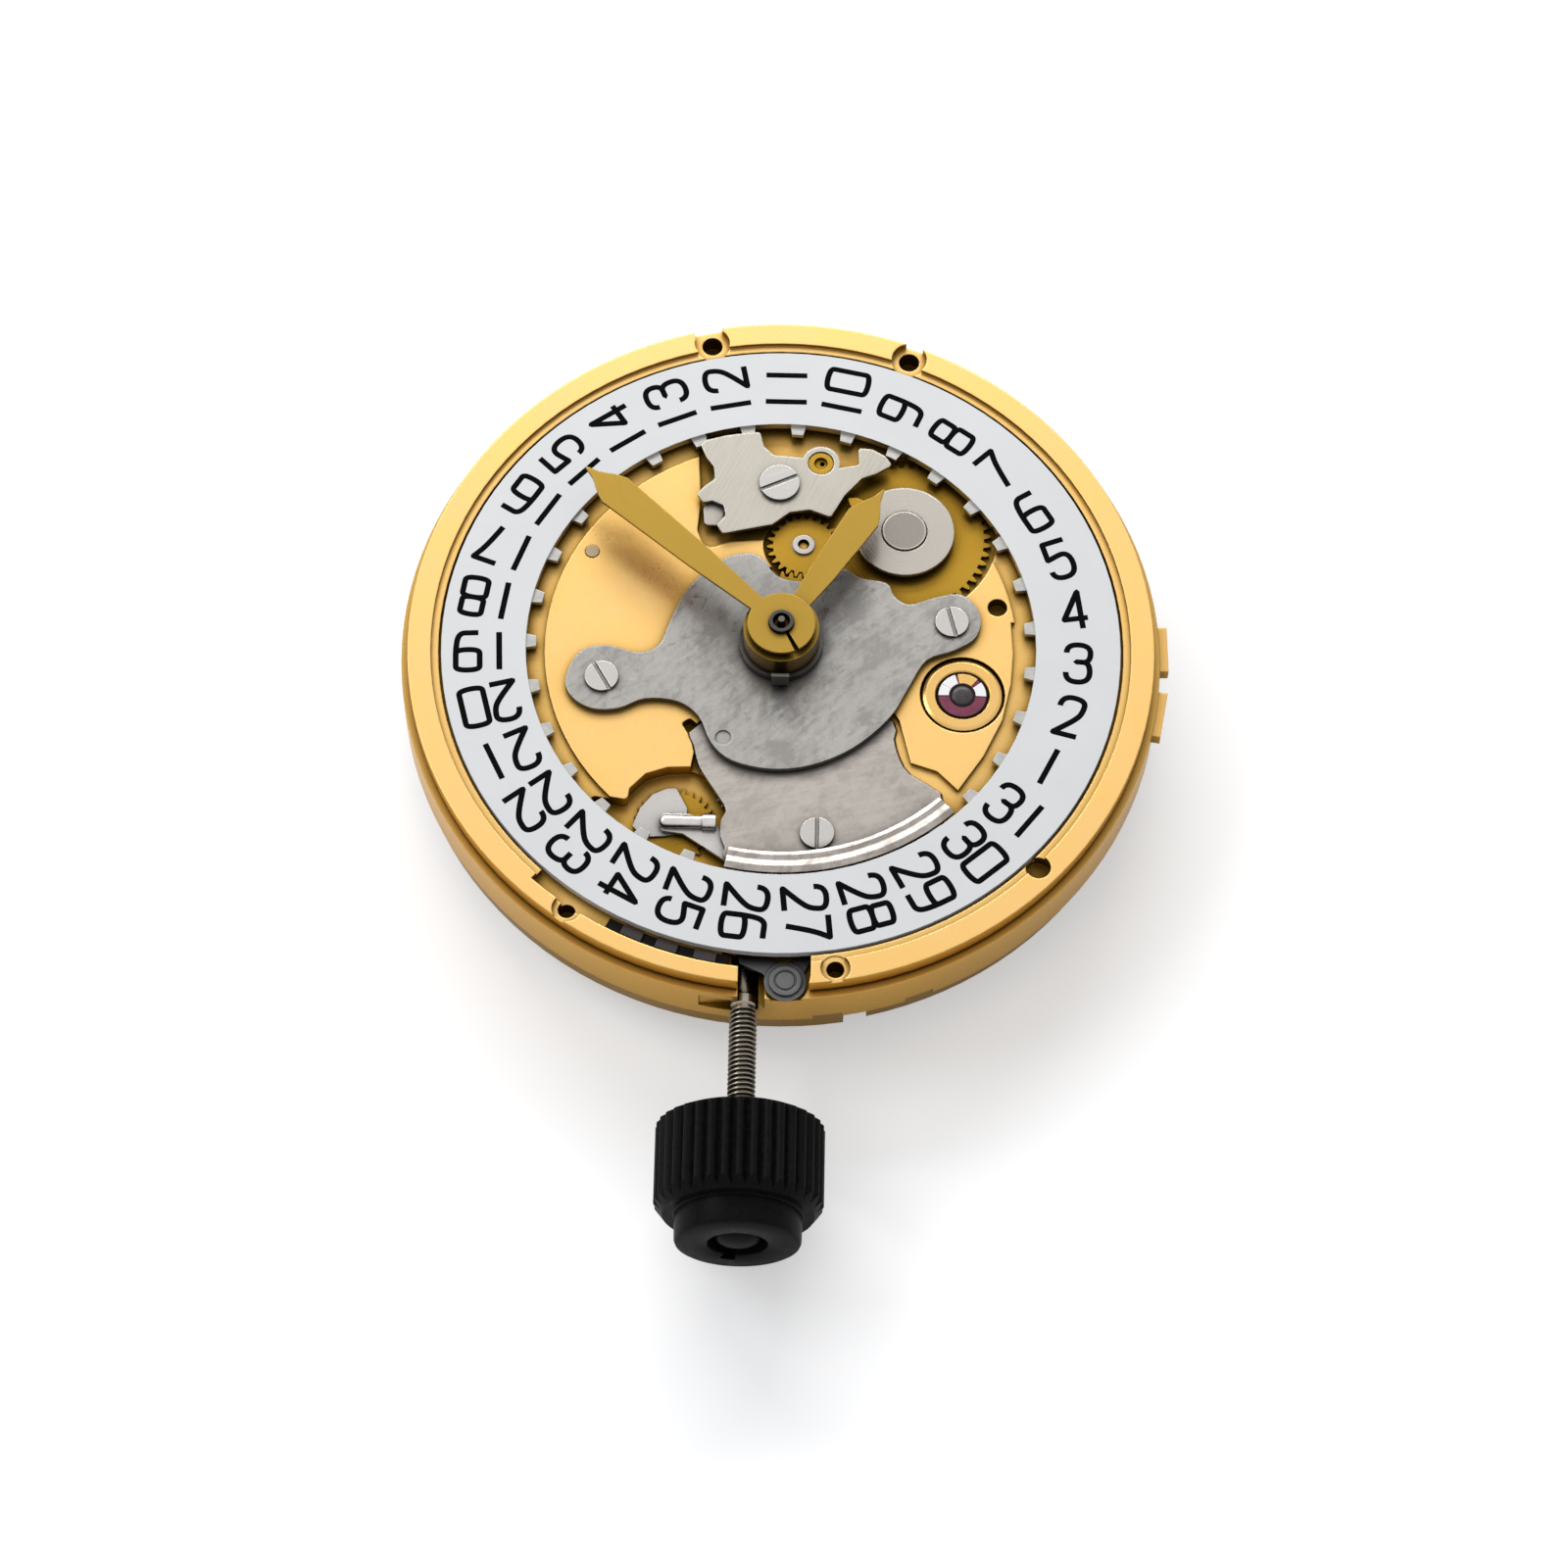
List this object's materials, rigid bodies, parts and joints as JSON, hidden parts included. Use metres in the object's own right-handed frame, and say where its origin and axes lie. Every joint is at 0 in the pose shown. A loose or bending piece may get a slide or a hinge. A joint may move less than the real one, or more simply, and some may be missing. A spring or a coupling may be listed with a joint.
{
  "type": "automatic watch movement",
  "caption": "Automatic watch movement with date ring, hands, stem and crown, shown without its dial.",
  "frame": {"origin": "hand axis at the level of the dial seat, the upper face of the main plate's rim", "axes": "+Z out of the dial side along the hands' axis, -Y towards the crown along the stem, +X to the balance's side"},
  "size_m": [0.0263, 0.0345, 0.0063],
  "materials": {
    "plate_gold": "gilded, fine brushed",
    "bridge_gold": "gilded, satin",
    "wheel_brass": "satin",
    "hand_gold": "brushed along the hand",
    "steel_grey": "mottled matt",
    "steel_light": "fine brushed",
    "steel_bright": "polished",
    "steel_dark": "dark satin",
    "date_white": "white lacquer",
    "crown_black": "semi-gloss black",
    "ruby": "polished",
    "spring_blue": "blued"
  },
  "bodies": {
    "frame": {"main_plate": "plate_gold", "maintaining_plate": "steel_grey", "calendar_plate": "steel_light", "keyless_cover": "steel_light", "jumper_eccentric": "steel_light", "shock_blocks": "bridge_gold", "shock_spring": "steel_bright", "cap_jewels": "ruby", "train_jewels": "ruby", "dial_side_screws": "steel_bright", "steady_pins": "steel_bright", "pallet_bridge": "bridge_gold", "balance_cock": "bridge_gold", "regulator": "steel_bright", "train_bridge": "bridge_gold", "barrel_bridge": "bridge_gold", "bridge_screws": "steel_bright", "automatic_bridge": "bridge_gold", "rotor_bearing": "steel_bright"},
    "minute": {"cannon_pinion": "steel_dark", "minute_hand": "hand_gold"},
    "minute_wheel": {"minute_wheel": "wheel_brass"},
    "hour": {"hour_wheel": "wheel_brass", "hour_hand": "hand_gold", "dial_washer": "steel_grey"},
    "intermediate_date": {"intermediate_date_wheel": "wheel_brass"},
    "date_drive": {"date_driving_wheel": "wheel_brass", "date_wheel_cap": "steel_light"},
    "setting_wheel": {"setting_wheel": "steel_light"},
    "date_ring": {"date_ring": "date_white"},
    "date_jumper": {"date_jumper": "steel_light"},
    "fourth": {"fourth_wheel": "wheel_brass"},
    "third": {"third_wheel": "wheel_brass"},
    "centre": {"centre_wheel": "wheel_brass"},
    "barrel": {"barrel_drum": "wheel_brass", "barrel_cover": "wheel_brass", "mainspring": "spring_blue"},
    "escape": {"escape_wheel": "steel_bright"},
    "pallet_fork": {"pallet_fork": "steel_bright"},
    "balance": {"balance_wheel": "wheel_brass", "balance_staff": "steel_bright", "hairspring": "spring_blue"},
    "winding": {"winding_pinion": "steel_bright"},
    "stem": {"stem": "steel_light", "crown": "crown_black"},
    "clutch": {"sliding_pinion": "steel_bright"},
    "release": {"release_button": "steel_dark"},
    "setting_lever": {"setting_lever": "steel_light"},
    "yoke": {"yoke": "steel_light"},
    "corrector": {"corrector_wheel": "wheel_brass"},
    "rocker": {"corrector_rocker": "steel_grey"},
    "crown_wheel": {"crown_wheel": "steel_bright"},
    "idler": {"winding_idler": "steel_bright"},
    "ratchet": {"ratchet_wheel": "steel_bright", "barrel_arbor": "steel_bright"},
    "click": {"click": "steel_bright"},
    "reduction": {"reduction_wheel": "wheel_brass"},
    "rotor": {"rotor": "steel_grey"},
    "reverser_a": {"reversing_wheel_a": "steel_bright"},
    "reverser_b": {"reversing_wheel_b": "steel_bright"}
  },
  "joints": [
    {"name": "minute_turn", "type": "hinge", "parent": "frame", "child": "minute", "pos_m": [0, 0, 0], "axis": [0, 0, 1], "continuous": true},
    {"name": "minute_wheel_turn", "type": "hinge", "parent": "frame", "child": "minute_wheel", "pos_m": [-0.00061, -0.00229, 0], "axis": [0, 0, 1], "continuous": true},
    {"name": "hour_turn", "type": "hinge", "parent": "frame", "child": "hour", "pos_m": [0, 0, 0], "axis": [0, 0, 1], "continuous": true},
    {"name": "intermediate_date_turn", "type": "hinge", "parent": "frame", "child": "intermediate_date", "pos_m": [0.00071, 0.00409, 0], "axis": [0, 0, 1], "continuous": true},
    {"name": "date_drive_turn", "type": "hinge", "parent": "frame", "child": "date_drive", "pos_m": [0.0042, 0.0046, 0], "axis": [0, 0, 1], "continuous": true},
    {"name": "setting_wheel_turn", "type": "hinge", "parent": "frame", "child": "setting_wheel", "pos_m": [-0.001, -0.00515, 0], "axis": [0, 0, 1], "continuous": true},
    {"name": "date_ring_turn", "type": "hinge", "parent": "frame", "child": "date_ring", "pos_m": [0, 0, 0], "axis": [0, 0, 1], "continuous": true},
    {"name": "date_jumper_lift", "type": "hinge", "parent": "frame", "child": "date_jumper", "pos_m": [-0.00245, 0.00502, 0], "axis": [0, 0, 1], "range_deg": [0, 5], "stiffness_Nm_per_rad": 0.00002},
    {"name": "fourth_turn", "type": "hinge", "parent": "frame", "child": "fourth", "pos_m": [0, 0, 0], "axis": [0, 0, 1], "continuous": true},
    {"name": "third_turn", "type": "hinge", "parent": "frame", "child": "third", "pos_m": [0.00101, 0.00377, 0], "axis": [0, 0, 1], "continuous": true},
    {"name": "centre_turn", "type": "hinge", "parent": "frame", "child": "centre", "pos_m": [0, 0, 0], "axis": [0, 0, 1], "continuous": true},
    {"name": "barrel_turn", "type": "hinge", "parent": "frame", "child": "barrel", "pos_m": [-0.00511, 0.00285, 0], "axis": [0, 0, 1], "continuous": true},
    {"name": "escape_turn", "type": "hinge", "parent": "frame", "child": "escape", "pos_m": [0.00247, -0.00282, 0], "axis": [0, 0, 1], "continuous": true},
    {"name": "pallet_swing", "type": "hinge", "parent": "frame", "child": "pallet_fork", "pos_m": [0.00419, -0.00229, 0], "axis": [0, 0, 1], "range_deg": [-4, 4]},
    {"name": "balance_swing", "type": "hinge", "parent": "frame", "child": "balance", "pos_m": [0.00624, -0.00165, 0], "axis": [0, 0, 1], "range_deg": [-150, 150], "stiffness_Nm_per_rad": 0.000001},
    {"name": "winding_turn", "type": "hinge", "parent": "frame", "child": "winding", "pos_m": [-0.001, -0.01045, -0.00145], "axis": [0, 1, 0], "continuous": true},
    {"name": "stem_pull", "type": "slide", "parent": "winding", "child": "stem", "axis": [0, -1, 0], "range_m": [0, 0.0006]},
    {"name": "clutch_shift", "type": "slide", "parent": "winding", "child": "clutch", "axis": [0, 1, 0], "range_m": [0, 0.000564]},
    {"name": "release_press", "type": "slide", "parent": "frame", "child": "release", "axis": [0, 0, 1], "range_m": [0, 0.0002], "stiffness_N_per_m": 200},
    {"name": "setting_lever_turn", "type": "hinge", "parent": "release", "child": "setting_lever", "pos_m": [0.00038, -0.01245, 0], "axis": [0, 0, 1], "range_deg": [0, 22.76]},
    {"name": "yoke_turn", "type": "hinge", "parent": "frame", "child": "yoke", "pos_m": [-0.00348, -0.00658, 0], "axis": [0, 0, 1], "range_deg": [0, 12.41]},
    {"name": "corrector_turn", "type": "hinge", "parent": "frame", "child": "corrector", "pos_m": [-0.00348, -0.00658, 0], "axis": [0, 0, 1], "continuous": true},
    {"name": "rocker_swing", "type": "hinge", "parent": "frame", "child": "rocker", "pos_m": [-0.00348, -0.00658, 0], "axis": [0, 0, 1], "range_deg": [-6, 6]},
    {"name": "crown_wheel_turn", "type": "hinge", "parent": "frame", "child": "crown_wheel", "pos_m": [-0.001, -0.00845, 0], "axis": [0, 0, 1], "continuous": true},
    {"name": "idler_turn", "type": "hinge", "parent": "frame", "child": "idler", "pos_m": [-0.00433, -0.0037, 0], "axis": [0, 0, 1], "continuous": true},
    {"name": "ratchet_turn", "type": "hinge", "parent": "frame", "child": "ratchet", "pos_m": [-0.00511, 0.00285, 0], "axis": [0, 0, 1], "continuous": true},
    {"name": "click_lift", "type": "hinge", "parent": "frame", "child": "click", "pos_m": [-0.00941, 0.00085, 0], "axis": [0, 0, 1], "range_deg": [0, 8], "stiffness_Nm_per_rad": 0.00002},
    {"name": "reduction_turn", "type": "hinge", "parent": "frame", "child": "reduction", "pos_m": [-0.00221, 0.00546, 0], "axis": [0, 0, 1], "continuous": true},
    {"name": "rotor_turn", "type": "hinge", "parent": "frame", "child": "rotor", "pos_m": [0, 0, 0], "axis": [0, 0, 1], "continuous": true},
    {"name": "reverser_a_turn", "type": "hinge", "parent": "frame", "child": "reverser_a", "pos_m": [-0.00062, 0.00304, 0], "axis": [0, 0, 1], "continuous": true},
    {"name": "reverser_b_turn", "type": "hinge", "parent": "frame", "child": "reverser_b", "pos_m": [0.00066, 0.00586, 0], "axis": [0, 0, 1], "continuous": true}
  ],
  "couplings": [
    {"joint": "minute_wheel_turn", "follows": "minute_turn", "ratio": -0.33333},
    {"joint": "hour_turn", "follows": "minute_turn", "ratio": 0.083333},
    {"joint": "intermediate_date_turn", "follows": "minute_turn", "ratio": -0.20833},
    {"joint": "date_drive_turn", "follows": "minute_turn", "ratio": 0.041667},
    {"joint": "setting_wheel_turn", "follows": "minute_turn", "ratio": 0.53846},
    {"joint": "escape_turn", "follows": "fourth_turn", "ratio": -12},
    {"joint": "third_turn", "follows": "fourth_turn", "ratio": -0.13333},
    {"joint": "centre_turn", "follows": "fourth_turn", "ratio": 0.016667},
    {"joint": "barrel_turn", "follows": "fourth_turn", "ratio": -0.0022222},
    {"joint": "crown_wheel_turn", "follows": "winding_turn", "ratio": -0.36364},
    {"joint": "idler_turn", "follows": "winding_turn", "ratio": 0.29545},
    {"joint": "ratchet_turn", "follows": "winding_turn", "ratio": -0.27807},
    {"joint": "reduction_turn", "follows": "winding_turn", "ratio": 1.8909},
    {"joint": "clutch_shift", "follows": "stem_pull", "ratio": 0.94},
    {"joint": "setting_lever_turn", "follows": "stem_pull", "rad_per_m": 661.99},
    {"joint": "yoke_turn", "follows": "stem_pull", "rad_per_m": 361.11},
    {"joint": "reverser_a_turn", "follows": "rotor_turn", "ratio": -1},
    {"joint": "reverser_b_turn", "follows": "rotor_turn", "ratio": 1}
  ]
}
